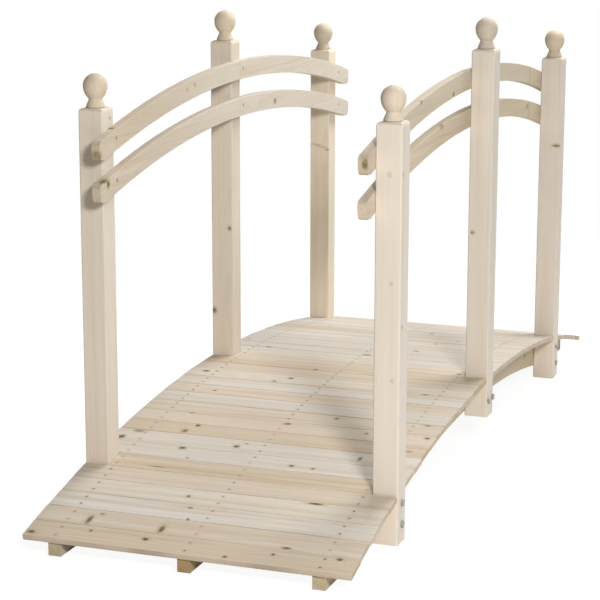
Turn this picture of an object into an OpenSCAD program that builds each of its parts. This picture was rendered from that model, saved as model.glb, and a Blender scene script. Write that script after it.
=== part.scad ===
// Arched wooden garden footbridge, unfinished fir, lengths in millimetres.
// +X runs along the bridge from its front end to its rear end, +Y is the left side, +Z is up.
// The ground is z = 0 and the origin is the middle of the footprint.
//
// Three arched stringers stand on flat feet and carry a deck of slats laid across them.
// Six square posts are bolted to the outer faces of the outer stringers, through the deck:
// one short slat fills the deck between each pair of posts.
// Two arched rails a side run along the inner faces of the posts, and a turned finial
// stands on each post.

/* [Posts] */

// side of a square post
post_w = 52; // [40:1:70]
// length of a post
post_len = 825; // [600:5:1100]
// rounding of a post's upright edges
post_edge_r = 3; // [1:0.5:6]
// rounding of a post's four top edges
post_top_r = 8; // [2:0.5:10]
// how far a middle post reaches below the stringer it is bolted to
mid_post_drop = 11; // [0:1:40]

/* [Deck] */

// overall width of the deck, which is the length of a full slat
deck_w = 665; // [450:5:1200]
// thickness of a slat
slat_t = 11; // [8:0.5:24]
// gap between neighbouring slats at their undersides
slat_gap = 0.5; // [0.3:0.1:5]
// chamfer along a slat's two top edges
slat_ease = 1.2; // [0.5:0.1:3]
// gap between a post and the slats in front of and behind it
post_gap = 2.75; // [2:0.25:10]
// gap between the end of a short slat and the post beside it
short_slat_gap = 1; // [0.5:0.25:5]
// full slats between two neighbouring rows of posts
bay_slats = 11; // [7:2:17]
// full slats between an end row of posts and the end of the deck
ramp_slats = 5; // [3:1:7]

/* [Stringers] */

// radius of the arched top edge that the slats lie on
arch_r = 3850; // [3200:10:6000]
// thickness of a stringer
stringer_t = 26; // [18:1:45]
// depth of a stringer between its two arched edges
stringer_d = 69; // [60:1:110]
// height of the upright cut at a stringer's end
end_rise = 28.5; // [18:0.5:40]
// how far a stringer's end is set back under the end slat
end_setback = 5; // [0:1:20]

/* [Rails] */

// radius of a rail's arched top edge
rail_r = 3250; // [2600:10:6000]
// height of a rail between its two arched edges
rail_h = 41.5; // [30:0.5:60]
// thickness of a rail
rail_t = 18; // [12:1:30]
// rounding of a rail's four long edges
rail_edge_r = 1; // [0.5:0.5:4]
// drop from the top of a middle post to the top edge of the upper rail
rail_drop = 45; // [20:1:80]
// clear gap between the upper rail and the lower rail
rail_gap = 42.5; // [20:0.5:90]
// how far a rail runs past the far face of an end post
rail_overhang = 52; // [20:1:90]
// height of the level cut that takes the sharp lower corner off a rail's end
rail_toe = 7; // [3:0.5:12]
// length along the rail of the rounding of its lower end corner
rail_nose_l = 10; // [3:0.5:14]
// height of the rounding of a rail's lower end corner
rail_nose_h = 24; // [3:0.5:26]
// easing of the upper corner at a rail's end
rail_end_ease = 6; // [2:0.5:9]

/* [Finials] */

// diameter of a finial's ball
ball_d = 48.5; // [44:0.5:54]
// height of the ball's widest part above the post
ball_z = 43; // [40:0.5:48]
// radius of the fuller curve that draws the ball's lower half in to the neck
belly_r = 35; // [32:0.5:40]
// diameter of the neck under the ball
neck_d = 27; // [20:0.5:28]
// height above the post at which the flare has drawn in to the neck
neck_z = 15.5; // [12:0.5:17]
// diameter of the finial's foot
foot_d = 38; // [34:0.5:44]
// height of the foot's rounded rim
foot_h = 5; // [3:0.5:7]

/* [Bolts] */

// width of a bolt head across its flats
bolt_af = 13; // [10:1:16]
// height of a bolt head
bolt_head_h = 5; // [3:0.5:7]
// height of the lowest bolt above the foot of its post
bolt_low = 38; // [28:1:42]
// distance between the two bolts of an end post, one above the other
bolt_rise = 43; // [30:1:46]
// distance between the two bolts of a middle post, side by side
bolt_spread = 35; // [24:1:36]

/* [Hidden] */

$fn = 96;
// Steps round the large circles that the arches are cut from.
arch_steps = 720;

// A short slat leaves room for a post and its gaps, so the post sets the slat width.
slat_w = post_w + 2 * post_gap - slat_gap;
slat_pitch = slat_w + slat_gap;
pitch_angle = slat_pitch / arch_r * 180 / PI;

// Slats are counted from the middle of the deck, which is number 0.
post_slat = bay_slats + 1;
end_slat = post_slat + ramp_slats;
post_angle = post_slat * pitch_angle;
end_angle = end_slat * pitch_angle;

// Place of an end row of posts along the bridge.
post_x = (arch_r + slat_t / 2) * sin(post_angle);
// Distance across the bridge from the middle to a post's inner face and to its middle.
post_inner_y = deck_w / 2 - post_w;
post_mid_y = deck_w / 2 - post_w / 2;

// Half length of a stringer, and the height of the middle of its arcs, far below the ground.
stringer_half = arch_r * sin(end_angle) + slat_w / 2 * cos(end_angle) - end_setback;
arch_z = end_rise - sqrt(arch_r * arch_r - stringer_half * stringer_half);

// Heights that the middle posts and the rails are hung from.
mid_post_z = arch_z + arch_r - stringer_d - mid_post_drop;
upper_rail_z = mid_post_z + post_len - rail_drop;
lower_rail_z = upper_rail_z - rail_h - rail_gap;
rail_half = post_x + post_w / 2 + rail_overhang;

short_slat_l = deck_w - 2 * post_w - 2 * short_slat_gap;

// How far each bolt head of a side was turned when it was tightened.
bolt_turns = [8, 41, 22, 50, 15, 33];

fir = [0.86, 0.74, 0.56];
fir_pale = [0.90, 0.81, 0.66];
fir_tan = [0.80, 0.66, 0.47];
zinc = [0.62, 0.63, 0.62];

// Band between two arcs about one middle, standing in the XZ plane.
module arc_band(centre_z, r, depth) {
    translate([0, centre_z])
        difference() {
            circle(r, $fn = arch_steps);
            circle(r - depth, $fn = arch_steps);
        }
}

// Sweep a profile drawn in the XZ plane across the bridge, from y to y + t.
module across(y, t) {
    translate([0, y + t, 0])
        rotate([90, 0, 0])
            linear_extrude(t)
                children();
}

// Stringer from y to y + stringer_t: the band is cut level at the ground and upright at both ends.
module stringer(y) {
    across(y, stringer_t)
        intersection() {
            arc_band(arch_z, arch_r, stringer_d);
            translate([-stringer_half, 0])
                square([2 * stringer_half, arch_r]);
        }
}

// Rectangle of w by d about the origin with its corners rounded.
module round_rect(w, d, r) {
    square([w - 2 * r, d], center = true);
    square([w, d - 2 * r], center = true);
    for (i = [-1, 1], j = [-1, 1])
        translate([i * (w / 2 - r), j * (d / 2 - r)])
            circle(r, $fn = 32);
}

// Side view that a rail is cut to: upright ends and level toes, the lower corners rounded in
// short flats, the upper corners eased in two flats.
module rail_side(z) {
    low_r = rail_r - rail_h;
    toe_z = z - rail_r + sqrt(low_r * low_r - rail_half * rail_half) + rail_toe;
    top_z = z - rail_r + sqrt(rail_r * rail_r - rail_half * rail_half);
    flat = 0.4 * rail_end_ease;
    run = rail_half / 2;
    nose = [for (a = [0:30:90])
        [rail_half - rail_nose_l * (1 - sin(a)), toe_z + rail_nose_h * (1 - cos(a))]];
    brow = [
        [rail_half, top_z - rail_end_ease],
        [rail_half - flat, top_z - flat],
        [rail_half - flat - run, top_z - flat + 0.65 * run]
    ];
    rear = concat(nose, brow);
    front = [for (i = [len(rear) - 1:-1:0]) [-rear[i][0], rear[i][1]]];
    polygon(concat(rear, front));
}

// Rail from y to y + rail_t with its top edge at height z in the middle of the bridge.
// The eased section is carried round the arch and cut to the rail's side view.
module rail(y, z) {
    intersection() {
        translate([0, y + rail_t / 2, z - rail_r])
            rotate([90, 0, 0])
                rotate_extrude($fn = arch_steps)
                    translate([rail_r - rail_h / 2, 0])
                        round_rect(rail_h, rail_t, rail_edge_r);
        across(y - rail_t, 3 * rail_t)
            rail_side(z);
    }
}

// Side view of a post: square at the foot, its two top corners rounded.
module post_side() {
    translate([-post_w / 2, 0])
        square([post_w, post_len - post_top_r]);
    translate([post_top_r - post_w / 2, 0])
        square([post_w - 2 * post_top_r, post_len]);
    for (i = [-1, 1])
        translate([i * (post_w / 2 - post_top_r), post_len - post_top_r])
            circle(post_top_r);
}

// Post standing on height z, its middle at x, y.
module post(x, y, z) {
    translate([x, y, z])
        intersection() {
            linear_extrude(post_len)
                round_rect(post_w, post_w, post_edge_r);
            across(-post_w / 2, post_w)
                post_side();
            rotate([0, 0, 90])
                across(-post_w / 2, post_w)
                    post_side();
        }
}

// Half outline of a finial: rounded foot, straight flare, neck and ball, fuller below its middle.
module finial_outline() {
    rim_r = foot_h / 2;
    square([foot_d / 2 - rim_r, foot_h]);
    translate([foot_d / 2 - rim_r, rim_r])
        circle(rim_r);
    polygon([
        [0, rim_r],
        [foot_d / 2, rim_r],
        [neck_d / 2, neck_z],
        [0, neck_z]
    ]);
    square([neck_d / 2, ball_z]);
    intersection() {
        translate([0, ball_z])
            circle(ball_d / 2);
        translate([0, ball_z])
            square([ball_d, ball_d]);
    }
    intersection() {
        translate([ball_d / 2 - belly_r, ball_z])
            circle(belly_r);
        translate([0, neck_z])
            square([ball_d, ball_z - neck_z]);
    }
}

// Finial standing on a post whose foot is at x, y, z.
module finial(x, y, z) {
    translate([x, y, z + post_len])
        rotate_extrude()
            finial_outline();
}

// Slat number i of length l, lying flat on the arch.
module slat(i, l) {
    a = i * pitch_angle;
    translate([arch_r * sin(a), 0, arch_z + arch_r * cos(a)])
        rotate([0, a, 0])
            across(-l / 2, l)
                polygon([
                    [-slat_w / 2, 0],
                    [slat_w / 2, 0],
                    [slat_w / 2, slat_t - slat_ease],
                    [slat_w / 2 - slat_ease, slat_t],
                    [slat_ease - slat_w / 2, slat_t],
                    [-slat_w / 2, slat_t - slat_ease]
                ]);
}

// Full slats from number first to number last.
module slats(first, last) {
    for (i = [first:last])
        slat(i, deck_w);
}

// Hexagon bolt head on the outer face of the posts at x, z, its six top corners turned off.
// side is 1 for the left side of the bridge and -1 for the right side.
module bolt_head(x, z, side, turn) {
    face_r = 0.47 * bolt_af;
    translate([x, side * deck_w / 2, z])
        rotate([-90 * side, 0, 0])
            rotate([0, 0, turn])
                intersection() {
                    cylinder(h = bolt_head_h, d = bolt_af / cos(30), $fn = 6);
                    cylinder(h = bolt_head_h, r1 = face_r + bolt_head_h / tan(30), r2 = face_r);
                }
}

// The six bolt heads of one side: two above each other on an end post, two abreast on a middle post.
module bolt_heads(side) {
    for (i = [0, 1]) {
        bolt_head(-post_x, bolt_low + i * bolt_rise, side, bolt_turns[i]);
        bolt_head((i - 0.5) * bolt_spread, mid_post_z + bolt_low, side, bolt_turns[2 + i]);
        bolt_head(post_x, bolt_low + i * bolt_rise, side, bolt_turns[4 + i]);
    }
}

module left_stringer() {
    color(fir)
        stringer(post_inner_y - stringer_t);
}

module middle_stringer() {
    color(fir)
        stringer(-stringer_t / 2);
}

module right_stringer() {
    color(fir)
        stringer(-post_inner_y);
}

module front_left_post() {
    color(fir_pale)
        post(-post_x, post_mid_y, 0);
}

module middle_left_post() {
    color(fir_pale)
        post(0, post_mid_y, mid_post_z);
}

module rear_left_post() {
    color(fir_pale)
        post(post_x, post_mid_y, 0);
}

module front_right_post() {
    color(fir_pale)
        post(-post_x, -post_mid_y, 0);
}

module middle_right_post() {
    color(fir_pale)
        post(0, -post_mid_y, mid_post_z);
}

module rear_right_post() {
    color(fir_pale)
        post(post_x, -post_mid_y, 0);
}

module front_left_finial() {
    color(fir_tan)
        finial(-post_x, post_mid_y, 0);
}

module middle_left_finial() {
    color(fir_tan)
        finial(0, post_mid_y, mid_post_z);
}

module rear_left_finial() {
    color(fir_tan)
        finial(post_x, post_mid_y, 0);
}

module front_right_finial() {
    color(fir_tan)
        finial(-post_x, -post_mid_y, 0);
}

module middle_right_finial() {
    color(fir_tan)
        finial(0, -post_mid_y, mid_post_z);
}

module rear_right_finial() {
    color(fir_tan)
        finial(post_x, -post_mid_y, 0);
}

module left_upper_rail() {
    color(fir)
        rail(post_inner_y - rail_t, upper_rail_z);
}

module left_lower_rail() {
    color(fir)
        rail(post_inner_y - rail_t, lower_rail_z);
}

module right_upper_rail() {
    color(fir)
        rail(-post_inner_y, upper_rail_z);
}

module right_lower_rail() {
    color(fir)
        rail(-post_inner_y, lower_rail_z);
}

module front_ramp_slats() {
    color(fir_pale)
        slats(-end_slat, -post_slat - 1);
}

module front_post_slat() {
    color(fir_tan)
        slat(-post_slat, short_slat_l);
}

module front_bay_slats() {
    color(fir_pale)
        slats(-bay_slats, -1);
}

module middle_post_slat() {
    color(fir_tan)
        slat(0, short_slat_l);
}

module rear_bay_slats() {
    color(fir_pale)
        slats(1, bay_slats);
}

module rear_post_slat() {
    color(fir_tan)
        slat(post_slat, short_slat_l);
}

module rear_ramp_slats() {
    color(fir_pale)
        slats(post_slat + 1, end_slat);
}

module left_bolts() {
    color(zinc)
        bolt_heads(1);
}

module right_bolts() {
    color(zinc)
        bolt_heads(-1);
}

left_stringer();
middle_stringer();
right_stringer();
front_left_post();
middle_left_post();
rear_left_post();
front_right_post();
middle_right_post();
rear_right_post();
front_left_finial();
middle_left_finial();
rear_left_finial();
front_right_finial();
middle_right_finial();
rear_right_finial();
left_upper_rail();
left_lower_rail();
right_upper_rail();
right_lower_rail();
front_ramp_slats();
front_post_slat();
front_bay_slats();
middle_post_slat();
rear_bay_slats();
rear_post_slat();
rear_ramp_slats();
left_bolts();
right_bolts();
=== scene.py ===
import math

import bpy
import numpy as np
from bpy.props import FloatProperty, FloatVectorProperty, PointerProperty
from bpy.types import Operator, Panel, PropertyGroup
from mathutils import Matrix, Vector


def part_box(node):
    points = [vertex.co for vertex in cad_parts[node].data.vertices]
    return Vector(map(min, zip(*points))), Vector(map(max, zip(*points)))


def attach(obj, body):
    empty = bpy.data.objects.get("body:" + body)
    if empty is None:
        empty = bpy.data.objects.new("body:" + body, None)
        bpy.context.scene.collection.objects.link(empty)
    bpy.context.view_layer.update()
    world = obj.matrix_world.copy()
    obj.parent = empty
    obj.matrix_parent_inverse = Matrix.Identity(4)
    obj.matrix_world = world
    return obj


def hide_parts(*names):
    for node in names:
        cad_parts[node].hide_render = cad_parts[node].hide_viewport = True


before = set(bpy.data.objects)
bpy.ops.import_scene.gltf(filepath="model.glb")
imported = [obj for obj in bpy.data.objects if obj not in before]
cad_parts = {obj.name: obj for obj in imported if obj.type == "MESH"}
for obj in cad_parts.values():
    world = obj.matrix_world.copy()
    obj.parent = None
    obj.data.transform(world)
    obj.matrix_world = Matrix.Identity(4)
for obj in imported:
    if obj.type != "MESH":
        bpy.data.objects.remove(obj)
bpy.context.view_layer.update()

bl_info = {
    "name": "Arched garden footbridge",
    "version": (1, 0, 0),
    "blender": (4, 5, 0),
    "location": "View3D > Sidebar > Footbridge",
    "description": "Finishes the packed footbridge: fir grain, knots, slats, nails, screws, nuts and studio",
    "category": "Object",
}

# The box of the bare solids, and the places on them that the added pieces are set out from, in metres.
POST_LOW, POST_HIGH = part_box("rear_left_post")
POST_X = (POST_LOW.x + POST_HIGH.x) / 2
POST_Y = (POST_LOW.y + POST_HIGH.y) / 2
POST_HALF = (POST_HIGH.x - POST_LOW.x) / 2
RAIL_TOPS = [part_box("left_upper_rail")[1].z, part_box("left_lower_rail")[1].z]
RAIL_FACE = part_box("left_upper_rail")[0].y
RAIL_RADIUS, RAIL_THICKNESS = 3.25, 0.018
STRINGER_LOW, STRINGER_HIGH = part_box("left_stringer")
STRINGER_ROW = (STRINGER_LOW.y + STRINGER_HIGH.y) / 2
DECK_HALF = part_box("front_ramp_slats")[1].y

# About what a rail drops in a metre from its crown, and levels near the middle of the rails and stringers.
RAIL_DROP, RAIL_LEVEL, STRINGER_LEVEL = 0.1525, 0.75, 0.09

# The slats of each deck node, counted from the crown of the arch, and which of them are cut short.
SLAT_GROUPS = {
    "front_ramp_slats": range(-17, -12),
    "front_post_slat": range(-12, -11),
    "front_bay_slats": range(-11, 0),
    "middle_post_slat": range(0, 1),
    "rear_bay_slats": range(1, 12),
    "rear_post_slat": range(12, 13),
    "rear_ramp_slats": range(13, 18),
}
SHORT_SLATS = (-12, 0, 12)

# Board selection, by the slats' numbers. A slat that isn't named here is straw coloured: honey is warmer,
# cream paler, silver greyer, ash greyer and darker.
SLAT_SORTS = {
    "honey": (-17, -12, -9, -1, 17),
    "cream": (-14, -3),
    "silver": (-15, -11, -10, -6, -4, 1, 5, 9, 14),
    "ash": (2, 3, 4, 6, 8, 10, 11, 13, 15),
}

# Single pieces made darker or paler than the rest of their kind.
PIECE_TINTS = {
    "front_right_post": (0.98, 0.99, 1.01), "middle_left_post": (0.98, 0.97, 0.95),
    "middle_right_post": (0.94, 0.96, 0.98), "rear_right_post": (0.92, 0.93, 0.97),
    "rear_left_post": (1.16, 1.14, 1.08), "middle_left_finial": (1.10, 1.10, 1.10),
    "middle_right_finial": (0.94, 0.96, 1.00), "front_right_finial": (0.97, 0.99, 1.02),
    "left_upper_rail": (0.90, 0.92, 0.94), "left_lower_rail": (0.88, 0.91, 0.95),
    "right_upper_rail": (0.93, 0.95, 0.96), "right_lower_rail": (1.02, 1.03, 1.04),
}

# Knots in the deck: for a slat, millimetres along it to the left and across it to the rear,
# half lengths in those two directions, and how dark it is.
SLAT_KNOTS = {
    -17: [(319, -14, 9, 6, .8), (205, 13, 5, 4, .65), (89, 7, 7, 5, 1), (-82, -18, 5, 4, .8),
          (-168, 8, 5, 4, .7), (-295, 18, 7, 5, .8)],
    -16: [(225, -9, 6, 17, .7), (208, 16, 7, 4, .45), (72, -12, 6.5, 14, .75), (-185, -24, 10, 4, .8)],
    -15: [(36, -25, 3.2, 3, 1), (47, 16, 7, 4, .55)],
    -14: [(68, 0, 5, 5, .65), (-187, 25, 16, 4, 1)],
    -12: [(177, -14, 22, 1.6, .8)],
    -11: [(162, 21, 8, 7, .8), (134, -20, 2.5, 2.5, 1), (-87, -7, 6, 5, .8), (-133, -10, 5, 4, .7)],
    -10: [(310, -13, 8, 9, .85), (286, 22, 16, 7, .45), (55, -4, 7, 7, .8), (39, 13, 4, 3, .5),
          (-211, -1, 4, 9, .8)],
    -9: [(190, -13, 8, 9, .6), (174, 20, 6, 7, .95), (-297, -2.5, 9, 5, .4)],
    -8: [(214, 25, 7, 3, .6), (-8, 17, 7, 5, 1), (-185, 7, 5, 4, .7), (-314, 13.5, 6, 6, .8)],
    -7: [(-99, 13.5, 6, 5, .8), (-296, 23, 7, 4, .8)],
    -5: [(219, -5, 4.5, 4, .7)],
    -3: [(292, 8, 8, 6, .95), (115, -22, 6, 5, .7), (87, 10, 6, 6, .85), (-236, -20, 9, 5, .7)],
    -1: [(58, -22, 8, 5, .7)],
    0: [(-262, -11, 6, 5, .75)],
    2: [(236, -24, 8, 5, .7), (-10, -20, 9, 6, .85)],
    3: [(313, -12, 5, 5, .5), (-104, 10, 8, 5, .7)],
    5: [(-120, 9, 6, 5, .7)],
    6: [(-160, 13, 6, 6, .5)],
    8: [(204, -6, 5, 4, .7), (-61, 12, 3.5, 11, .8)],
    11: [(-244, 4, 6, 5, .8), (33, -15, 5, 4, .7)],
    14: [(110, 10, 6, 5, .8), (-198, -12, 5, 4, .7)],
    16: [(-40, -8, 4, 13, .8), (262, 9, 6, 5, .8)],
}

# Knots in the posts, rails and stringers: middle and half lengths in millimetres in the bridge's own frame,
# and how faint the knot is, from 0 for a dark heart to 1.5 for a mere stain. The last four knots of the posts
# lie in a row as the scratch on the rear left post.
POST_KNOTS = [
    ((-26, 328, 275), (7, 6, 7), .5), ((-26, 288, 472), (5, 4, 5), .5), ((-26, -291, 499), (6, 4, 4), .6),
    ((-713, -308, 727), (4, 3, 3.5), 1.1), ((-713, -314, 519), (4, 2.5, 3), 1.2),
    ((-700, -332, 434), (4, 3, 4), 1), ((-713, -318, 330), (4, 2.5, 3), 1.2),
    ((-704, -332, 727), (4, 3, 4), 1.1),
    ((661, -325, 605), (6, 11, 4), .55), ((-677, 280, 804), (3, 3, 3), .8), ((713, 300, 402), (8, 6, 8), 0),
    ((700, 332, 590), (7, 6, 7), 0), ((12, 332, 640), (7, 6, 8), 0), ((661, 323, 578), (6, 6, 2), 1.1),
    ((661, 311, 576), (6, 7, 2.2), 1), ((661, 298, 571), (6, 7, 2.4), 1), ((661, 286, 565), (6, 6, 2.2), .9),
]
RAIL_KNOTS = [
    ((-286, 262, 831), (4, 5, 4), .75), ((-328, 262, 824), (4, 5, 4), .9), ((-686, 275, 784), (6, 8, 4), 0),
    ((-748, 266, 688), (24, 10, 4), 0), ((-729, 262, 680), (7, 4, 8), 0), ((208, 262, 743), (8, 6, 6), .5),
    ((-411, -280, 830), (7, 6, 6), .6), ((-168, -280, 819), (7, 6, 5), .1),
    ((-255, -280, 762), (9, 6, 6), .6), ((515, -280, 719), (7, 6, 5), .4),
    ((-765, -277, 752), (6, 7, 11), .35), ((-763, 271, 741), (9, 14, 10), .7),
    ((402, 280, 812), (8, 6, 6), 0), ((-120, 280, 738), (7, 6, 5), 0),
]
STRINGER_KNOTS = [
    ((-420, 262, 96), (14, 16, 9), 0), ((310, 0, 120), (12, 16, 9), 0), ((-240, -280, 118), (14, 10, 9), 0),
    ((560, -270, 80), (12, 14, 8), .2), ((640, 268, 72), (13, 14, 8), 0), ((-610, 0, 66), (12, 16, 9), 0),
]

# Where the lengths of each rail meet, in metres along the bridge: beside the middle post, and on the right
# side once more towards the rear.
RAIL_JOINT, REAR_JOINT = -0.020, 0.536

# What the timber is multiplied by in a dark joint or a turned line, and in the pale and dark lengths of rail;
# white leaves it as it is.
DARK_LINE = (0.55, 0.45, 0.34, 1)
PALE_LENGTH = (1.17, 1.22, 1.32, 1)
DARK_LENGTH = (0.90, 0.89, 0.85, 1)
WHITE = (1, 1, 1, 1)

# Shader nodes stand in rows: how many to a row, and the steps along it and from row to row.
NODE_ROW, NODE_WIDE, NODE_TALL = 12, 190, 170

# Fine shapes of a slat, in metres: the ease of its lower edges, the strip beside an upper ease that has faces
# of its own, how far the top drops and the underside lifts at an end, and the most that the top is planed.
LOWER_EASE, EASE_STRIP, END_DROP, END_LIFT, PLANED = 0.0005, 0.0012, 0.0005, 0.0003, 0.0003
SLAT_STATIONS = 19


def metres(name, description, default):
    """A size in metres."""
    return FloatProperty(name=name, description=description, default=default, unit="LENGTH")


def rgb(name, description, default):
    """A colour."""
    return FloatVectorProperty(name=name, description=description, default=default, subtype="COLOR")


def xyz(name, description, default):
    """A place in metres."""
    return FloatVectorProperty(
        name=name, description=description, default=default, subtype="XYZ", unit="LENGTH")


class DeckSizes(PropertyGroup):
    """Sizes of the deck slats."""

    slat_width: metres("Slat width", "Width of a slat", 0.057)
    slat_thickness: metres("Slat thickness", "Thickness of a slat", 0.011)
    slat_pitch: metres("Slat pitch", "Distance from slat to slat along the arch", 0.0575)
    arch_radius: metres("Arch radius", "Radius of the arch that the slats lie on", 3.850)
    short_cut: metres(
        "Short cut", "How much shorter a slat between two posts is at each end", 2 * POST_HALF + 0.001)
    ease: metres("Edge ease", "Rounding of a slat's long top edges", 0.0009)
    wander: metres("Edge wander", "Most that a slat's long edge wanders inwards", 0.0003)
    corner_round: metres("Corner round", "Radius of a slat's corners seen from above", 0.002)
    end_wander: metres("End wander", "Most that a slat is cut short at an end", 0.0022)
    cup: metres("Cup", "Most that a slat's face is hollowed or its edges drop", 0.0004)
    stain: metres("Nail stain", "How far the stain round a nail reaches", 0.0075)


class FixingSizes(PropertyGroup):
    """Sizes of the nails, screws, washers and nuts."""

    nail_head: metres("Nail head", "Diameter of a nail head", 0.0040)
    nail_rise: metres("Nail rise", "How far a nail head stands above the slat", 0.0003)
    nail_spread: metres("Nail spread", "Distance from a slat's middle line to its nails", 0.0138)
    nail_slip: metres("Nail slip", "Width of the band that a nail's place strays in", 0.0018)
    nail_sunk: metres("Nail sunk", "Most that a nail is driven too deep", 0.0003)
    screw_head: metres("Screw head", "Diameter of a rail screw's head", 0.0075)
    screw_drop: metres("Screw drop", "Height of a rail's top edge above its screws", 0.018)
    nut_width: metres("Nut width", "Width of a nut across its flats", 0.013)
    nut_height: metres("Nut height", "Height of a nut", 0.0065)
    washer: metres("Washer", "Diameter of a washer", 0.022)
    washer_thickness: metres("Washer thickness", "Thickness of a washer", 0.0018)
    shank: metres("Bolt shank", "Diameter of a bolt's shank", 0.0078)


class FirColours(PropertyGroup):
    """Colours of the timber and the metal."""

    straw: rgb("Straw", "Most of the deck slats", (0.612, 0.538, 0.447))
    honey: rgb("Honey", "Warmer slats", (0.575, 0.490, 0.383))
    cream: rgb("Cream", "Paler slats", (0.655, 0.598, 0.518))
    ash: rgb("Ash", "Greyer and darker slats", (0.600, 0.562, 0.512))
    silver: rgb("Silver", "Greyer slats", (0.635, 0.595, 0.543))
    post: rgb("Post", "Planed posts", (0.735, 0.652, 0.548))
    rail: rgb("Rail", "Planed rails", (0.600, 0.512, 0.400))
    finial: rgb("Finial", "Turned finials", (0.620, 0.530, 0.410))
    stringer: rgb("Stringer", "Sawn outer stringers", (0.600, 0.485, 0.335))
    middle: rgb("Middle stringer", "The sawn middle stringer", (0.470, 0.320, 0.160))
    late_tint: rgb(
        "Late wood", "What the dark half of a growth ring multiplies the timber by", (0.80, 0.70, 0.56))
    knot: rgb("Knot", "A knot's branch", (0.230, 0.185, 0.095))
    core: rgb("Knot core", "Dark middle of a knot", (0.045, 0.034, 0.018))
    halo: rgb("Knot halo", "Stained timber round a knot", (0.420, 0.330, 0.180))
    zinc: rgb("Zinc", "Dull zinc plate", (0.350, 0.350, 0.320))
    screw: rgb("Screw", "Brown screw heads", (0.150, 0.112, 0.075))
    nail: rgb("Nail", "Dark nail heads", (0.100, 0.078, 0.055))


class StageSettings(PropertyGroup):
    """Floor, light and camera."""

    floor: rgb("Floor", "Colour of the floor", (0.90, 0.88, 0.85))
    sky: FloatProperty(name="Sky", description="Strength of the even light from all round", default=0.08)
    sky_colour: rgb("Sky colour", "Colour of the even light from all round", (1.0, 0.93, 0.84))
    key_power: FloatProperty(
        name="Key light", description="Power of the light at the front right", default=94.0, unit="POWER")
    key_place: xyz("Key place", "Place of the light at the front right", (-3.1, -1.85, 1.95))
    key_size: metres("Key size", "Diameter of the light at the front right", 0.65)
    key_colour: rgb("Key colour", "Colour of the light at the front right", (0.99, 0.985, 0.98))
    top_power: FloatProperty(
        name="Top light", description="Power of the wide light overhead", default=120.0, unit="POWER")
    top_place: xyz("Top place", "Place of the wide light overhead", (1.6, -0.7, 3.05))
    top_size: metres("Top size", "Diameter of the wide light overhead", 2.2)
    top_colour: rgb("Top colour", "Colour of the wide light overhead", (0.98, 0.965, 0.935))
    aim: xyz("Aim", "Place that both lights point at", (0, 0, 0.4))
    floor_half: metres("Floor half", "Half the side of the floor", 60.0)
    floor_drop: metres("Floor drop", "How far the floor lies under the feet", 0.0006)
    glow: FloatProperty(
        name="Floor glow", description="White that the floor by the bridge shows in full shade", default=0.93)
    lens: FloatProperty(
        name="Lens", description="Focal length on a 36 mm sensor, in millimetres", default=118.5128)
    camera_place: xyz("Camera", "Place of the camera", (-4.208155, -1.380917, 1.285265))
    camera_turn: FloatVectorProperty(
        name="Camera turn", description="Heading from +X, rise above level and roll of the camera",
        default=(0.34341, -0.21503, 0.00171), subtype="EULER", unit="ROTATION")


# Shader nodes

class Wire:
    """An output of a shader node. Sums and products written with wires become nodes in their tree."""

    def __init__(self, socket):
        self.socket = socket
        self.tree = socket.id_data
        self.single = socket.type == "VALUE"

    def to(self, target):
        """Links the wire to an input."""
        self.tree.links.new(self.socket, target)

    def pair(self, operation, first, second):
        """Math node on two values, or Vector Math node where one of them has three parts."""
        single = all(getattr(value, "single", not isinstance(value, tuple)) for value in (first, second))
        kind = "Math" if single else "VectorMath"
        return put(self.tree, kind, {0: first, 1: second}, operation=operation)

    def __add__(self, other):
        return self.pair("ADD", self, other)

    def __sub__(self, other):
        return self.pair("SUBTRACT", self, other)

    def __rsub__(self, other):
        return self.pair("SUBTRACT", other, self)

    def __mul__(self, other):
        return self.pair("MULTIPLY", self, other)

    def __truediv__(self, other):
        return self.pair("DIVIDE", self, other)

    def __abs__(self):
        return calc("ABSOLUTE", self)


def wires(sockets):
    """Outputs of a node as wires, by their names."""
    return {socket.name: Wire(socket) for socket in sockets}


def feed(made, values):
    """Links each value that is a wire to that input of a node, and sets any other on it."""
    for name, value in values.items():
        if isinstance(value, Wire):
            value.to(made.inputs[name])
        else:
            made.inputs[name].default_value = value


def put(tree, kind, values=None, out=0, **settings):
    """Adds one shader node with its inputs and settings, and returns one of its outputs."""
    made = tree.nodes.new("ShaderNode" + kind)
    row, column = divmod(len(tree.nodes), NODE_ROW)
    made.location = (NODE_WIDE * column, -NODE_TALL * row)
    for name, setting in settings.items():
        setattr(made, name, setting)
    feed(made, values or {})
    return Wire(made.outputs[out])


def calc(operation, *values, clamp=False):
    """Math node on one, two or three values, the first of which is a wire."""
    return put(values[0].tree, "Math", dict(enumerate(values)), operation=operation, use_clamp=clamp)


def length(place):
    """Length of a vector."""
    return put(place.tree, "VectorMath", {0: place}, 1, operation="LENGTH")


def ease(value, start, end):
    """0 before start, 1 after end, and a smooth step between them."""
    return put(value.tree, "MapRange", {"Value": value, "From Min": start, "From Max": end},
               interpolation_type="SMOOTHSTEP")


def tint(mode, factor, colour, other):
    """Mix node on two colours."""
    return put(factor.tree, "Mix", {0: factor, 6: colour, 7: other}, 2, data_type="RGBA", blend_type=mode)


def noise(place, detail=2.0, roughness=0.5, out=0):
    """Noise texture, 0 to 1 about a half, at a place that is already scaled; out 1 is three of them."""
    values = {"Vector": place, "Scale": 1.0, "Detail": detail, "Roughness": roughness}
    return put(place.tree, "TexNoise", values, out)


def noise_line(value):
    """Noise along a line, 0 to 1 about a half, at a value that is already scaled."""
    return put(value.tree, "TexNoise", {"W": value, "Scale": 1.0, "Detail": 1.0}, noise_dimensions="1D")


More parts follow.
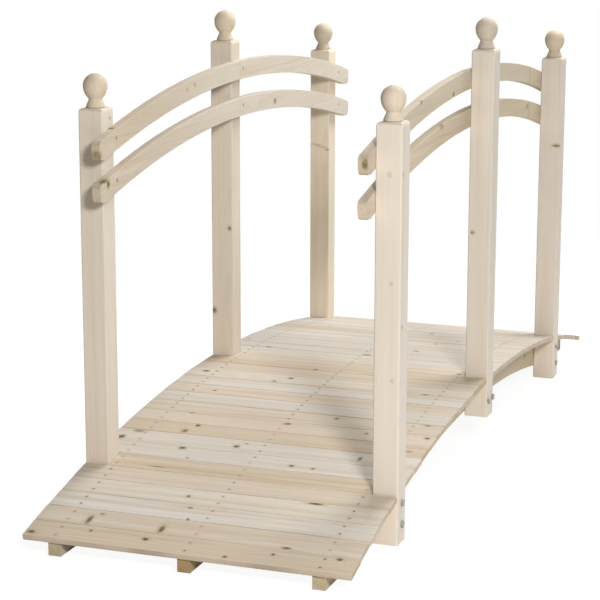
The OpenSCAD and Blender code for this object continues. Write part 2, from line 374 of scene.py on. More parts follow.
def chance_of(seed, out=0):
    """A random number from 0 to 1 that a seed sets; out 1 is three of them."""
    return put(seed.tree, "TexWhiteNoise", {"W": seed}, out, noise_dimensions="1D")


def split(place):
    """The three parts of a vector."""
    made = place.tree.nodes.new("ShaderNodeSeparateXYZ")
    place.to(made.inputs[0])
    return [Wire(part) for part in made.outputs]


def join(x, y, z=0.0):
    """A vector from its three parts."""
    return put(x.tree, "CombineXYZ", {0: x, 1: y, 2: z})


def seen_directly(tree):
    """1 for what the camera sees, also in a mirror or through glass, and 0 for other light."""
    path = wires(tree.nodes.new("ShaderNodeLightPath").outputs)
    mirrored = calc("MAXIMUM", path["Is Glossy Ray"], path["Is Transmission Ray"])
    return calc("MAXIMUM", path["Is Camera Ray"], mirrored)


def new_group(name, inputs, outputs):
    """A shader node group with sockets listed by kind; returns what it is given and where its results go."""
    tree = bpy.data.node_groups.new(name, "ShaderNodeTree")
    for side, sockets in (("INPUT", inputs), ("OUTPUT", outputs)):
        for kind, labels in sockets.items():
            for label in labels:
                tree.interface.new_socket(label, in_out=side, socket_type="NodeSocket" + kind)
    return wires(tree.nodes.new("NodeGroupInput").outputs), tree.nodes.new("NodeGroupOutput").inputs


def use_group(tree, name, values):
    """Places a node group in a tree and returns its outputs."""
    made = tree.nodes.new("ShaderNodeGroup")
    made.node_tree = bpy.data.node_groups[name]
    feed(made, values)
    return wires(made.outputs)


def group_fir_grain():
    """Growth rings, fibre and streaks of one board.

    Board is the place in the board in metres: along the grain, across it and through its thickness. The
    rings are circles about a pith that lies beside the board at a place set by Seed and drifts slowly along
    it, so a face shows straight lines or long flames. Bend pushes the rings aside round a knot.
    """
    given, result = new_group(
        "fir grain", {"Vector": ["Board"], "Float": ["Seed", "Ring Width", "Bend"]},
        {"Float": ["Ring", "Fibre", "Streak"]})
    board, seed = given["Board"], given["Seed"]
    shift = seed * (17.3, 5.1, 9.7)
    chance = split(chance_of(seed, 1))
    drift = (noise(board * (2.2, 6.0, 6.0) + shift, out=1) - (0.5, 0.5, 0.5)) * (0.05, 0.04, 0.0)
    pith = join(chance[0] * 0.11 - 0.055, chance[1] * -0.075 - 0.018)
    _, across, through = split(board)
    turns = length(join(across, through) - pith + drift) / given["Ring Width"]
    turns = noise_line(turns * 0.55) * 1.6 + turns + given["Bend"] * 0.8
    part = calc("FRACT", turns)
    late = ease(part, 0.30, 0.90) * (1.0 - ease(part, 0.93, 1.0))
    late.to(result["Ring"])
    for label, scale in (("Fibre", (16.0, 900.0, 900.0)), ("Streak", (1.5, 60.0, 45.0))):
        noise(board * scale + shift, 3.0, 0.6).to(result[label])


def group_fir_knot():
    """A knot from its Offset, the distance from its middle counted in its own half lengths.

    Core is the dark middle of the branch, Heart the whole branch, ragged at its edge; Halo the stained timber
    round it; Bend how far the rings are pushed aside. Strength fades them all.
    """
    given, result = new_group(
        "fir knot", {"Vector": ["Offset", "Board"], "Float": ["Strength"]},
        {"Float": ["Core", "Heart", "Halo", "Bend"]})
    grit = noise(given["Board"] * (300.0, 300.0, 300.0), 3.0, 0.6)
    away = length(given["Offset"])
    ragged = away + (grit * 1.1 - 0.55)
    for label, value in (("Core", ease(ragged, 0.85, 0.25)), ("Heart", ease(ragged, 1.2, 0.7)),
                         ("Halo", ease(ragged, 2.3, 0.8)), ("Bend", ease(away, 3.0, 0.5))):
        calc("MULTIPLY", value, given["Strength"], clamp=True).to(result[label])


def group_fir_colour():
    """Colour, roughness and relief of fir from its grain and knots.

    The base colour is multiplied by the late wood's tint in the rings and by a warm tint in the streaks,
    lightened and darkened by the fibre, then stained round the knots and in them. End shows the rings more
    strongly on sawn ends.
    """
    colours = bpy.context.scene.fir_colours
    given, result = new_group(
        "fir colour",
        {"Color": ["Base"], "Float": ["Ring", "Ring Depth", "Fibre", "Fibre Depth", "Streak", "Streak Depth",
                                      "Core", "Heart", "Halo", "End"]},
        {"Color": ["Colour"], "Float": ["Roughness", "Height"]})
    ring, fibre, streak, heart = given["Ring"], given["Fibre"], given["Streak"], given["Heart"]
    rings = ring * (given["Ring Depth"] + given["End"] * 0.4)
    warm = ease(streak, 0.45, 0.72) * given["Streak Depth"]
    light = ease(streak, 0.46, 0.28) * given["Streak Depth"]
    colour = tint("MULTIPLY", rings, given["Base"], (*colours.late_tint, 1))
    colour = tint("MULTIPLY", warm, colour, (0.86, 0.79, 0.68, 1))
    colour = tint("MULTIPLY", light, colour, (1.07, 1.09, 1.13, 1))
    colour = colour * ((fibre - 0.5) * given["Fibre Depth"] + 1.0)
    for share, stain in ((given["Halo"] * 0.5, colours.halo), (heart, colours.knot),
                         (given["Core"], colours.core)):
        colour = tint("MIX", share, colour, (*stain, 1))
    colour.to(result["Colour"])
    (heart * -0.12 + (fibre * 0.2 + 0.55)).to(result["Roughness"])
    (ring * 0.35 + fibre * 0.65).to(result["Height"])


def new_material(name):
    """A node material with its Principled BSDF; returns the material, its tree and the shader's inputs."""
    material = bpy.data.materials.new(name)
    material.use_nodes = True
    tree = material.node_tree
    return material, tree, tree.nodes["Principled BSDF"].inputs


def lay_grain(board, seed, ring_width, offset, strength):
    """Places the knot and grain groups of one board and returns the outputs of both."""
    knot = use_group(board.tree, "fir knot", {"Offset": offset, "Board": board, "Strength": strength})
    grain = use_group(board.tree, "fir grain",
                      {"Board": board, "Seed": seed, "Ring Width": ring_width, "Bend": knot["Bend"]})
    return knot, grain


def finish_fir(shader, base, knot, grain, depths, end=0.0, bump=0.3):
    """Wires a board's colour and relief to the shader; depths are those of ring, fibre and streak."""
    values = {"Base": base, "End": end}
    values.update((name, knot[name]) for name in ("Core", "Heart", "Halo"))
    for name, depth in zip(("Ring", "Fibre", "Streak"), depths):
        values.update({name: grain[name], name + " Depth": depth})
    fir = use_group(base.tree, "fir colour", values)
    fir["Colour"].to(shader["Base Color"])
    fir["Roughness"].to(shader["Roughness"])
    shader["Specular IOR Level"].default_value = 0.28
    relief = put(base.tree, "Bump", {"Height": fir["Height"], "Strength": bump, "Distance": 0.0005})
    relief.to(shader["Normal"])


def nearest_knot(place, knots):
    """Distance to the nearest of some knots, each counted in its own half lengths along x, y and z."""
    nearest = None
    for middle, reach, faint in knots:
        scaled = (place - tuple(v / 1000 for v in middle)) * tuple(1000 / v for v in reach)
        away = calc("SMOOTH_MAX", length(scaled), 0.2 + 0.85 * faint, 0.8)
        nearest = away if nearest is None else calc("MINIMUM", nearest, away)
    return join(nearest, 0.0)


def facing(tree, axis):
    """1 where the surface faces along an axis of the bridge, either way, and 0 on its sides."""
    return ease(abs(split(put(tree, "TexCoord", out=1))[axis]), 0.3, 0.7)


def fir_solid(name, base, knots, turn, depths, ring_width, faces, bump=0.3):
    """Fir for a CAD node, on Object coordinates.

    turn(place) gives the place in the board, its seed, which is any number that sets it apart from the other
    boards, and what the timber is multiplied by there, which on the posts holds painted light at the foot.
    Faces gives, for some of the bridge's axes, what the faces across that axis are multiplied by: on end
    grain the darker end grain, on the sides of posts and stringers painted light, on the stringers' tops and
    undersides painted shade. The base colour shifts a little from board to board, and is multiplied by the
    piece's own tint.
    """
    material, tree, shader = new_material(name)
    place = put(tree, "TexCoord", out=3)
    board, seed, shade = turn(place)
    knot, grain = lay_grain(board, seed, ring_width, nearest_knot(place, knots), 0.85)
    tone = (chance_of(seed + 0.37) * 0.10 + 0.95) * tuple(base) * put(tree, "ObjectInfo", out="Color")
    for axis, face in faces.items():
        tone = tint("MULTIPLY", facing(tree, axis), tone, (*face, 1))
    finish_fir(shader, tone * shade, knot, grain, depths, bump=bump)
    return material


def post_board(place):
    """Upright grain along z, across and through from the middle of the nearest post; paler at the foot, which
    is painted light.
    """
    x, y, z = split(place)
    row, side = calc("ROUND", x / POST_X), calc("SIGN", y)
    seed = calc("MULTIPLY_ADD", row, 3.7, side * 1.9)
    # The last factor paints light on the foot of each post: up to 8 % paler from 0.6 m down to 0.2 m.
    return join(z, x - row * POST_X, y - side * POST_Y), seed, ease(z, 0.6, 0.2) * 0.08 + 1.0


def finial_board(place):
    """Upright grain like a post's, from another piece of timber, with faint level lines from turning."""
    board, seed, _ = post_board(place)
    lines = noise_line(split(place)[2] * 420.0)
    return board, seed + 20.3, tint("MIX", ease(lines, 0.5, 0.75) * 0.10, WHITE, DARK_LINE)


def rail_board(place):
    """Level grain along x, across z and through y, from another length of timber beyond each joint.

    The left rails grow paler towards the rear, and the lower right one darker.
    """
    x, y, z = split(place)
    side, right = calc("SIGN", y), calc("LESS_THAN", y, 0.0)
    level = calc("GREATER_THAN", x * x * RAIL_DROP + z, sum(RAIL_TOPS) / 2)
    seed = calc("MULTIPLY_ADD", side, 2.3, level * 7.1)
    seed = calc("MULTIPLY_ADD", calc("GREATER_THAN", x, RAIL_JOINT), 1.31, seed)
    seed = calc("MULTIPLY_ADD", calc("GREATER_THAN", x, REAR_JOINT) * right, 2.17, seed)
    middle = ease(abs(x - RAIL_JOINT), 0.0016, 0.0)
    rear = ease(abs(x - REAR_JOINT), 0.0040, 0.0)
    joint = calc("MAXIMUM", middle * 0.5, rear * right)
    pale = ease(x, -0.55, 0.05) * (1.0 - right)
    dark = ease(x, -0.50, -0.20) * calc("GREATER_THAN", right, level)
    shade = tint("MULTIPLY", dark, tint("MIX", pale, WHITE, PALE_LENGTH), DARK_LENGTH)
    through = y - side * (RAIL_FACE + RAIL_THICKNESS / 2)
    return join(x, z - RAIL_LEVEL, through), seed, tint("MULTIPLY", joint, shade, DARK_LINE)


def stringer_board(place):
    """Level grain along x, across z and through y, from the middle of the nearest stringer."""
    x, y, z = split(place)
    row = calc("ROUND", y / STRINGER_ROW)
    seed = calc("MULTIPLY_ADD", row, 2.9, 11.3)
    return join(x, z - STRINGER_LEVEL, y - row * STRINGER_ROW), seed, (1, 1, 1)


def deck_material():
    """Fir of the deck slats from their mesh's attributes, stained round nails, with joints darkened by dirt
    and painted shade.
    """
    sizes, fixings = bpy.context.scene.deck_sizes, bpy.context.scene.fixing_sizes
    material, tree, shader = new_material("deck_fir")
    board, seed, base, knot = (put(tree, "Attribute", out=out, attribute_name=name) for name, out in (
        ("board", "Vector"), ("seed", "Fac"), ("sort", "Color"), ("knot", "Vector")))
    x, y, strength = split(knot)
    knot, grain = lay_grain(board, seed, 0.0052, join(x, y), strength)
    along, across, _ = split(board)
    half = sizes.slat_width / 2
    # Patches of each slat's long top edges are darkened beside the joints: partly dirt, partly painted shade
    # from the gaps between slats.
    dirt_and_shade_patches = noise(join(along * 9.0, calc("SIGN", across), seed))
    edge = ease(abs(across), half - 0.0016, half) * ease(dirt_and_shade_patches, 0.40, 0.80)
    row = calc("MINIMUM", abs(along), abs(abs(along) - STRINGER_ROW))
    stain = ease(length(join(row, abs(across) - fixings.nail_spread)), sizes.stain, sizes.stain / 3)
    dark = calc("MULTIPLY_ADD", edge, 0.60, stain * 0.25, clamp=True)
    end = facing(tree, 1)
    base = tint("MULTIPLY", dark, base, (0.45, 0.38, 0.30, 1))
    base = tint("MULTIPLY", end, base, (0.90, 0.87, 0.83, 1))
    finish_fir(shader, base, knot, grain, (0.24, 0.22, 0.8), end)
    return material


def metal_material(name, base, metallic, roughness, dust=None):
    """Dull steel: blotches of tone and roughness a few millimetres across.

    Where dust gives a colour, dust of that colour dims the metal in patches about a hand wide.
    """
    material, tree, shader = new_material(name)
    place = put(tree, "TexCoord", out=3)
    blotch = noise(place * (380.0, 380.0, 380.0), 3.0, 0.6)
    tone = (blotch * 0.7 + 0.65) * tuple(base)
    if dust:
        patch = noise(place * (11.0, 11.0, 11.0), 1.0, 0.5)
        tone = tint("MIX", ease(patch, 0.42, 0.6) * 0.6, tone, (*dust, 1))
    tone.to(shader["Base Color"])
    (blotch * 0.25 + (roughness - 0.12)).to(shader["Roughness"])
    shader["Metallic"].default_value = metallic
    return material


def floor_material(colour, glow):
    """Pale floor: by the bridge light and shade show faintly over a white glow, further off plain white."""
    material, tree, shader = new_material("pale_floor")
    shader["Base Color"].default_value = (*colour, 1)
    shader["Roughness"].default_value = 0.9
    shader["Specular IOR Level"].default_value = 0.0
    lit = Wire(tree.nodes["Principled BSDF"].outputs[0])
    away = length(put(tree, "TexCoord", out=3))
    white = put(tree, "Emission", {"Color": WHITE, "Strength": 1.0})
    base = put(tree, "Emission", {"Color": WHITE, "Strength": glow})
    near = put(tree, "AddShader", {0: base, 1: put(tree, "MixShader", {0: 0.84, 1: lit})})
    shown = put(tree, "MixShader", {0: ease(away, 1.2, 2.6), 1: near, 2: white})
    surface = put(tree, "MixShader", {0: seen_directly(tree), 1: lit, 2: shown})
    surface.to(tree.nodes["Material Output"].inputs["Surface"])
    return material


# Meshes

def add_piece(name, points, faces, material, slot, smooth_angle=0.6):
    """Puts a mesh into the scene as a named piece that rides on the bridge."""
    mesh = bpy.data.meshes.new(name)
    mesh.from_pydata(points, [], faces)
    mesh.validate()
    mesh.update()
    mesh.shade_smooth()
    mesh.set_sharp_from_angle(angle=smooth_angle)
    mesh.materials.append(material)
    piece = bpy.data.objects.new(name, mesh)
    bpy.context.scene.collection.objects.link(piece)
    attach(piece, "root")
    return piece


def tube_faces(rows, around):
    """Quads between rows of points round a closed section, and one face to close each end."""
    corner = np.arange(rows * around).reshape(rows, around)
    after = np.roll(corner, -1, axis=1)
    quads = np.stack([corner[:-1], after[:-1], after[1:], corner[1:]], -1).reshape(-1, 4)
    return quads.tolist() + [corner[0, ::-1].tolist(), corner[-1].tolist()]


def gather(parts):
    """The points and faces of one mesh from those of its parts."""
    points, faces, first = [], [], 0
    for part_points, part_faces in parts:
        points.append(part_points)
        faces += [[i + first for i in face] for face in part_faces]
        first += len(part_points)
    return np.concatenate(points), faces


def spun(places, frames, outline, steps, turns=None):
    """Copies of one outline spun about an axis.

    A point of a copy is place + r cos(a) u + r sin(a) v + h n, where the outline gives r and h, a goes round
    in equal steps from the copy's turn, and u, v, n are the rows of the copy's frame.
    """
    outline = np.asarray(outline)
    turns = np.zeros(len(places)) if turns is None else turns
    a = turns[:, None, None] + np.arange(steps) * (2 * np.pi / steps)
    r, h = outline[:, :1], outline[:, 1:]
    x, y = r * np.cos(a), r * np.sin(a)
    local = np.stack([x, y, np.broadcast_to(h, x.shape)], -1)
    points = places[:, None, None, :] + np.einsum("cpsk,ckj->cpsj", local, frames)
    return gather((copy.reshape(-1, 3), tube_faces(len(outline), steps)) for copy in points)


def slat_frame(number):
    """Middle of a slat's underside on the arch, and its directions across, along and up."""
    sizes = bpy.context.scene.deck_sizes
    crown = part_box("middle_post_slat")[1].z - sizes.slat_thickness
    a = np.asarray(number, float) * (sizes.slat_pitch / sizes.arch_radius)
    zero = np.zeros_like(a)
    middle = np.stack([sizes.arch_radius * np.sin(a), zero, crown - sizes.arch_radius * (1 - np.cos(a))], -1)
    across = np.stack([np.cos(a), zero, -np.sin(a)], -1)
    along = np.stack([zero, zero + 1, zero], -1)
    up = np.stack([np.sin(a), zero, np.cos(a)], -1)
    return middle, across, along, up


def slat_section(sizes):
    """Closed section of a slat, across and up, from its rear underside corner round over the top.

    A quarter circle eases each top edge, and the top is split finely beside the eases.
    """
    half, e = sizes.slat_width / 2, sizes.ease
    a = np.linspace(0, np.pi / 2, 5)
    rear = np.stack([half - e + e * np.cos(a), sizes.slat_thickness - e + e * np.sin(a)], -1)
    top = np.array([half - e - EASE_STRIP, half * 0.5, 0, -half * 0.5, e + EASE_STRIP - half])
    top = np.stack([top, np.full(5, sizes.slat_thickness)], -1)
    front = rear[::-1] * (-1, 1)
    under = np.array([[LOWER_EASE - half, 0.0], [half - LOWER_EASE, 0.0]])
    side = np.array([[half, LOWER_EASE]])
    return np.concatenate([side, rear, top, front, side * (-1, 1), under])


def slat_mesh(number, rng):
    """One slat: its section carried along its length.

    Each long edge wanders inwards as a sum of two slow sines, the face is cupped by a parabola, the ends are
    cut a little short and eased, and the corners are quarter circles seen from above. Returns points, faces
    and the point and corner attributes.
    """
    sizes = bpy.context.scene.deck_sizes
    half_length = DECK_HALF - (sizes.short_cut if number in SHORT_SLATS else 0.0)
    left, right = half_length - rng.random(2) * sizes.end_wander * (number not in SHORT_SLATS)
    knots = np.array(sorted(SLAT_KNOTS.get(number, [(0, 0, 1, 1, 0)])), float)
    knots[:, :4] /= 1000
    borders = (knots[1:, 0] + knots[:-1, 0]) / 2
    corner = sizes.corner_round
    inner = np.linspace(-right + corner, left - corner, SLAT_STATIONS)
    ends = [-right, corner / 4 - right, left - corner / 4, left]
    stations = np.unique(np.concatenate([ends, inner, borders]))
    section = slat_section(sizes)

    wave = rng.random((2, 4))
    reach = (stations + half_length) / (2 * half_length)
    drift = np.stack([0.8 + 0.3 * np.sin(2 * np.pi * (reach * (0.6 + w[0]) + w[1]))
                      + 0.2 * np.sin(2 * np.pi * (reach * (1.8 + w[2]) + w[3])) for w in wave], -1)
    drift *= sizes.wander
    half = sizes.slat_width / 2
    share = (section[:, 0] / half + 1) / 2
    across = section[None, :, 0] + drift[:, :1] * (1 - share) - drift[:, 1:] * share
    inset = np.clip(corner - np.minimum(stations + right, left - stations), 0, corner)
    across *= 1 - (corner - np.sqrt(corner ** 2 - inset ** 2))[:, None] / half
    cup = sizes.cup * (rng.random() * 2 - 1)
    bow = (section[:, 0] / half) ** 2
    on_top = section[:, 1] > sizes.slat_thickness / 2
    sink = np.where(on_top, np.where(cup > 0, cup * bow, -cup * (1 - bow)) + rng.random() * PLANED, 0.0)
    height = np.broadcast_to(section[:, 1] - sink, across.shape).copy()
    for end in (0, -1):
        height[end] += np.where(on_top, -END_DROP, END_LIFT)
    along = np.broadcast_to(stations[:, None], across.shape)

    middle, u, v, n = slat_frame(number)
    points = middle + across[..., None] * u + along[..., None] * v + height[..., None] * n
    rows, around = across.shape
    board = np.stack([along, across, height], -1).reshape(-1, 3)
    faces = tube_faces(rows, around)

    corners = np.concatenate(faces)
    row_of_face = np.concatenate([np.repeat(np.arange(rows - 1), around), [0, rows - 2]])
    middle_of_face = ((stations[1:] + stations[:-1]) / 2)[row_of_face]
    which = np.repeat(np.searchsorted(borders, middle_of_face), [len(f) for f in faces])
    offset = (board[corners, :2] - knots[which, :2]) / knots[which, 2:4]
    knot = np.concatenate([offset, knots[which, 4:]], -1)
    return points.reshape(-1, 3), faces, board, knot


def add_slats(node, numbers, material):
    """The slats of one deck node as one piece in its place."""
    colours = bpy.context.scene.fir_colours
    rows = []
    for number in numbers:
        rng = np.random.default_rng(500 + number)
        points, faces, board, knot = slat_mesh(number, rng)
        sort = next((name for name, slats in SLAT_SORTS.items() if number in slats), "straw")
        shade = np.array(getattr(colours, sort)) * (0.975 + 0.05 * rng.random())
        seed = np.full(len(points), number * 1.37 + 40)
        rows.append(((points, faces), board, knot, seed, np.tile(np.append(shade, 1), (len(points), 1))))
    parts, *layers = zip(*rows)
    piece = add_piece(node.replace("slat", "board"), *gather(parts), material, "deck_fir")
    for values, (name, kind, domain, field) in zip(layers, (
            ("board", "FLOAT_VECTOR", "POINT", "vector"), ("knot", "FLOAT_VECTOR", "CORNER", "vector"),
            ("seed", "FLOAT", "POINT", "value"), ("sort", "FLOAT_COLOR", "POINT", "color"))):
        layer = piece.data.attributes.new(name, kind, domain)
        layer.data.foreach_set(field, np.concatenate(values).astype(np.float32).ravel())
    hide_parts(node)


def levels(points, gap=0.009):
    """Parts of a cloud of points, split where it leaves a gap upwards."""
    points = points[points[:, 2].argsort()]
    return np.split(points, np.flatnonzero(np.diff(points[:, 2]) > gap) + 1)


def bolt_places():
    """Middles of the bolts of one side along the bridge and up it, read from the packed bolt heads."""
    points = np.array([v.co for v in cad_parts["left_bolts"].data.vertices])
    low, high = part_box("left_bolts")
    borders = [-POST_X / 2, (low.x + high.x) / 2, POST_X / 2]
    rows = np.searchsorted(borders, points[:, 0])
    heads = [head for row in np.unique(rows) for head in levels(points[rows == row])]
    return np.array([(head.min(0) + head.max(0)) / 2 for head in heads])[:, [0, 2]]


# Operators

def dress(endings, material):
    """Gives the CAD nodes whose names have one of some endings a material, and their own tint."""
    for name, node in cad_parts.items():
        if name.endswith(endings):
            node.color = (*PIECE_TINTS.get(name, (1, 1, 1)), 1)
            node.data.materials.clear()
            node.data.materials.append(material)


class BRIDGE_OT_timber(Operator):
    """Makes the shader groups that every timber shares"""

    bl_idname = "bridge.timber"
    bl_label = "Timber grain"

    def execute(self, context):
        group_fir_grain()
        group_fir_knot()
        group_fir_colour()
        return {"FINISHED"}


class BRIDGE_OT_posts(Operator):
    """Finishes the six planed posts"""

    bl_idname = "bridge.posts"
    bl_label = "Posts"

    def execute(self, context):
        # The faces across y get a cooler tint, painted light standing for a cool light from the right; the
        # darker tops are end grain.
        fir = fir_solid("post_fir", context.scene.fir_colours.post, POST_KNOTS, post_board,
                        depths=(0.15, 0.12, 0.30), ring_width=0.0048,
                        faces={1: (0.955, 0.985, 1.025), 2: (0.93, 0.90, 0.86)})
        dress("_post", fir)
        return {"FINISHED"}


class BRIDGE_OT_finials(Operator):
    """Finishes the six turned finials"""

    bl_idname = "bridge.finials"
    bl_label = "Finials"

    def execute(self, context):
        fir = fir_solid("finial_fir", context.scene.fir_colours.finial, POST_KNOTS, finial_board,
                        depths=(0.22, 0.16, 0.25), ring_width=0.0042, faces={})
        dress("_finial", fir)
        return {"FINISHED"}


class BRIDGE_OT_rails(Operator):
    """Finishes the four arched rails"""

    bl_idname = "bridge.rails"
    bl_label = "Rails"

    def execute(self, context):
        fir = fir_solid("rail_fir", context.scene.fir_colours.rail, RAIL_KNOTS, rail_board,
                        depths=(0.20, 0.20, 0.50), ring_width=0.0046,
                        faces={0: (0.97, 0.95, 0.93), 2: (0.93, 0.92, 0.92)})
        dress("_rail", fir)
        return {"FINISHED"}


class BRIDGE_OT_stringers(Operator):
    """Finishes the three sawn stringers"""

    bl_idname = "bridge.stringers"
    bl_label = "Stringers"

    def execute(self, context):
        colours = context.scene.fir_colours
        for name, colour, nodes in (("stringer_fir", colours.stringer, ("left_stringer", "right_stringer")),
                                    ("middle_fir", colours.middle, "middle_stringer")):
            # Faces across x are end grain. Faces across y get a cooler tint, painted light standing for a
            # cool light from the right; the tops and undersides are much darker, painted shade under the deck
            # and the arch.
            fir = fir_solid(name, colour, STRINGER_KNOTS, stringer_board,
                            depths=(0.45, 0.22, 0.40), ring_width=0.0055,
                            faces={0: (0.84, 0.87, 0.86), 1: (0.93, 1, 1.06), 2: (0.6, 0.55, 0.48)}, bump=0.5)
            dress(nodes, fir)
        return {"FINISHED"}


class BRIDGE_OT_deck(Operator):
    """Lays the deck slats over the arch in place of the plain solids"""

    bl_idname = "bridge.deck"
    bl_label = "Deck slats"

    def execute(self, context):
        material = deck_material()
        for node, numbers in SLAT_GROUPS.items():
            add_slats(node, numbers, material)
        return {"FINISHED"}


class BRIDGE_OT_nails(Operator):
    """Drives two nails through each slat into each stringer"""

    bl_idname = "bridge.nails"
    bl_label = "Deck nails"

    def execute(self, context):
        sizes, deck = context.scene.fixing_sizes, context.scene.deck_sizes
        colours = context.scene.fir_colours
        material = metal_material("nail_steel", colours.nail, 0.5, 0.5, colours.honey)
        rng = np.random.default_rng(21)
        numbers = np.repeat([number for group in SLAT_GROUPS.values() for number in group], 2)
        middle, u, v, n = slat_frame(numbers)
        sides = np.tile([-1.0, 1.0], len(numbers) // 2) * sizes.nail_spread
        r, rise = sizes.nail_head / 2, sizes.nail_rise
        outline = [(r * 0.9, -0.0012), (r, -0.0002), (r * 0.97, rise * 0.4), (r * 0.6, rise * 0.9),
                   (r * 0.2, rise)]
        for name, y in (("left_nails", STRINGER_ROW), ("middle_nails", 0.0), ("right_nails", -STRINGER_ROW)):
            slip = (rng.random((len(numbers), 2)) - 0.5) * sizes.nail_slip
            sunk = rng.random(len(numbers)) * sizes.nail_sunk
            places = (middle + (sides + slip[:, 0])[:, None] * u + (y + slip[:, 1])[:, None] * v
                      + (deck.slat_thickness - sunk)[:, None] * n)
            add_piece(name, *spun(places, np.stack([u, v, n], 1), outline, 10), material, "zinc_fixings")
        return {"FINISHED"}


class BRIDGE_OT_bolts(Operator):
    """Finishes the bolt heads and adds the washers and nuts on the inner faces of the stringers"""

    bl_idname = "bridge.bolts"
    bl_label = "Bolts and nuts"

    def execute(self, context):
        sizes = context.scene.fixing_sizes
        material = metal_material("zinc_plate", context.scene.fir_colours.zinc, 0.6, 0.4)
        dress("_bolts", material)
        spots = bolt_places()
        corner, rim, shank = sizes.nut_width / math.sqrt(3), sizes.washer / 2, sizes.shank / 2
        seat = sizes.washer_thickness
        top = seat + sizes.nut_height
        washer = [(rim - 0.0004, 0.0), (rim, 0.0004), (rim, seat - 0.0004), (rim - 0.0005, seat),
                  (corner * 0.8, seat)]
        nut = [(corner * 0.92, seat - 0.0001), (corner, seat + 0.0008), (corner, top - 0.0010),
               (corner * 0.9, top), (shank + 0.0003, top)]
        stub = [(shank, top - 0.0002), (shank, top + 0.0028), (shank - 0.0008, top + 0.0036)]
        for name, side in (("left_nuts", 1), ("right_nuts", -1)):
            places = np.insert(spots, 1, side * STRINGER_LOW.y, axis=1)
            axes = np.tile(np.array([[1, 0, 0], [0, 0, side], [0, -side, 0]], float), (len(spots), 1, 1))
            turns = np.arange(len(spots)) * 0.37
            parts = [spun(places, axes, outline, steps, turns)
                     for outline, steps in ((washer, 28), (nut, 6), (stub, 16))]
            add_piece(name, *gather(parts), material, "zinc_fixings", 0.5)
        return {"FINISHED"}


class BRIDGE_OT_screws(Operator):
    """Drives a countersunk screw through each rail into each post"""

    bl_idname = "bridge.screws"
    bl_label = "Rail screws"

    def execute(self, context):
        sizes = context.scene.fixing_sizes
        material = metal_material("screw_steel", context.scene.fir_colours.screw, 0.4, 0.45)
        # The head is a shallow dome over polar rings, less a cross whose arms fade out at sides and tips.
        # Points to a ring, rise of the dome, and the cross's depth, reach, half width and fade.
        steps, rise, depth, reach, half, fade = 48, 0.0004, 0.0011, 0.0027, 0.00055, 0.0005
        r = np.linspace(0.06, 1.0, 12)[:, None] * sizes.screw_head / 2
        a = np.linspace(0, 2 * np.pi, steps, endpoint=False)[None, :]
        x, y = r * np.cos(a), r * np.sin(a)
        arm = np.clip(1.6 - np.minimum(abs(x), abs(y)) / half, 0, 1)
        tip = np.clip((reach - r) / fade, 0, 1)
        dome = rise * (1 - (2 * r / sizes.screw_head) ** 2) - depth * arm * tip
        head = np.stack([x, y, dome], -1)[::-1]
        skirt = np.stack([x[-1] * 0.9, y[-1] * 0.9, np.full(steps, -2 * rise)], -1)
        head = np.concatenate([skirt[None], head])
        for name, side in (("left_rail_screws", 1), ("right_rail_screws", -1)):
            parts = []
            axes = np.array([[1, 0, 0], [0, 0, side], [0, -side, 0]], float)
            for top in RAIL_TOPS:
                for x_place in (-POST_X, 0.0, POST_X):
                    z = top - RAIL_RADIUS + math.sqrt(RAIL_RADIUS ** 2 - x_place ** 2) - sizes.screw_drop
                    turn = 0.4 + 1.7 * len(parts)
                    c, s = math.cos(turn), math.sin(turn)
                    spin = np.array([[c, s, 0], [-s, c, 0], [0, 0, 1]])
                    points = np.array([x_place, side * RAIL_FACE, z]) + head.reshape(-1, 3) @ spin @ axes
                    parts.append((points, tube_faces(len(head), steps)))
            add_piece(name, *gather(parts), material, "zinc_fixings")
        return {"FINISHED"}


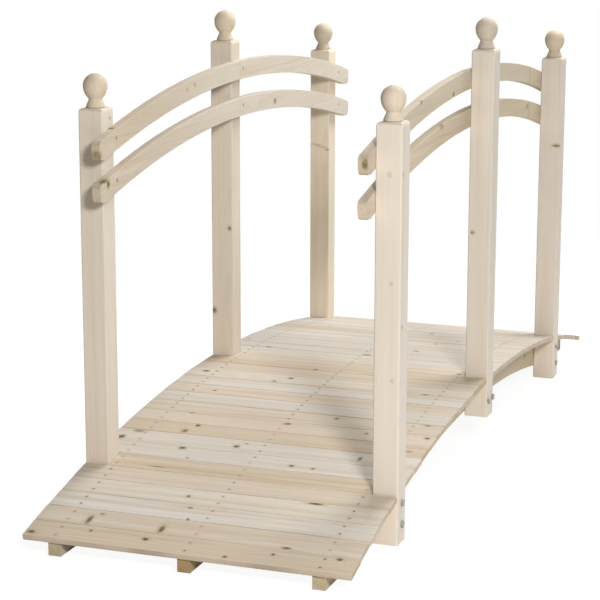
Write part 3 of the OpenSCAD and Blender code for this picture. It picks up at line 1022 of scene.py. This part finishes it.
class BRIDGE_OT_stage(Operator):
    """Sets up the floor, the light and the camera"""

    bl_idname = "bridge.stage"
    bl_label = "Stage"

    def execute(self, context):
        scene, stage = context.scene, context.scene.stage_settings
        scene.view_settings.view_transform = "Standard"
        self.floor(scene, stage)
        self.world(scene, stage)
        for name in ("key", "top"):
            self.lamp(scene, stage, name)
        self.camera(scene, stage)
        return {"FINISHED"}

    def floor(self, scene, stage):
        """A wide level sheet just under the feet."""
        count = 5
        span = np.linspace(-stage.floor_half, stage.floor_half, count)
        x, y = np.meshgrid(span, span)
        points = np.stack([x.ravel(), y.ravel(), np.full(count ** 2, -stage.floor_drop)], -1)
        corner = np.arange(count ** 2).reshape(count, count)
        quads = np.stack([corner[:-1, :-1], corner[:-1, 1:], corner[1:, 1:], corner[1:, :-1]], -1)
        mesh = bpy.data.meshes.new("floor")
        mesh.from_pydata(points, [], quads.reshape(-1, 4).tolist())
        mesh.materials.append(floor_material(stage.floor, stage.glow))
        floor = bpy.data.objects.new("floor", mesh)
        scene.collection.objects.link(floor)

    def world(self, scene, stage):
        """Even warm light, shown as plain white."""
        world = bpy.data.worlds.new("studio")
        world.use_nodes = True
        tree = world.node_tree
        light = put(tree, "Background", {"Color": (*stage.sky_colour, 1), "Strength": stage.sky})
        white = put(tree, "Background", {"Color": WHITE, "Strength": 1.0})
        shown = put(tree, "MixShader", {0: seen_directly(tree), 1: light, 2: white})
        shown.to(tree.nodes["World Output"].inputs["Surface"])
        scene.world = world

    def lamp(self, scene, stage, name):
        """A round soft light, by the settings that start with its name."""
        data = bpy.data.lights.new(name + "_light", "AREA")
        data.shape = "DISK"
        data.size = getattr(stage, name + "_size")
        data.energy = getattr(stage, name + "_power")
        data.color = getattr(stage, name + "_colour")
        lamp = bpy.data.objects.new(name + "_light", data)
        lamp.location = getattr(stage, name + "_place")
        lamp.rotation_euler = (Vector(stage.aim) - lamp.location).to_track_quat("-Z", "Y").to_euler()
        lamp.visible_camera = False
        scene.collection.objects.link(lamp)

    def camera(self, scene, stage):
        """A long lens at the front right, a little above the rails."""
        heading, rise, roll = stage.camera_turn
        data = bpy.data.cameras.new("camera")
        data.sensor_width, data.lens = 36.0, stage.lens
        data.clip_start, data.clip_end = 0.05, 200.0
        camera = bpy.data.objects.new("camera", data)
        camera.matrix_world = Matrix.Translation(stage.camera_place)
        for angle, axis in ((heading - math.pi / 2, "Z"), (math.pi / 2 + rise, "X"), (roll, "Z")):
            camera.matrix_world @= Matrix.Rotation(angle, 4, axis)
        scene.collection.objects.link(camera)
        scene.camera = camera


STEPS = (BRIDGE_OT_timber, BRIDGE_OT_posts, BRIDGE_OT_finials, BRIDGE_OT_rails, BRIDGE_OT_stringers,
         BRIDGE_OT_deck, BRIDGE_OT_nails, BRIDGE_OT_bolts, BRIDGE_OT_screws, BRIDGE_OT_stage)
SETTINGS = {"deck_sizes": DeckSizes, "fixing_sizes": FixingSizes, "fir_colours": FirColours,
            "stage_settings": StageSettings}


class BRIDGE_PT_panel(Panel):
    """Sidebar panel with every step and setting"""

    bl_idname = "BRIDGE_PT_panel"
    bl_label = "Arched footbridge"
    bl_space_type = "VIEW_3D"
    bl_region_type = "UI"
    bl_category = "Footbridge"

    def draw(self, context):
        for step in STEPS:
            self.layout.operator(step.bl_idname)
        for name, kind in SETTINGS.items():
            box = self.layout.box()
            box.label(text=kind.__doc__)
            for setting in kind.__annotations__:
                box.prop(getattr(context.scene, name), setting)


def register():
    for kind in (*SETTINGS.values(), *STEPS, BRIDGE_PT_panel):
        bpy.utils.register_class(kind)
    for name, kind in SETTINGS.items():
        setattr(bpy.types.Scene, name, PointerProperty(type=kind))


def unregister():
    for name in SETTINGS:
        delattr(bpy.types.Scene, name)
    for kind in (BRIDGE_PT_panel, *reversed(STEPS), *reversed(SETTINGS.values())):
        bpy.utils.unregister_class(kind)


def main():
    """Runs every step in order."""
    register()
    for step in STEPS:
        group, name = step.bl_idname.split(".")
        getattr(getattr(bpy.ops, group), name)()


if __name__ == "__main__":
    main()
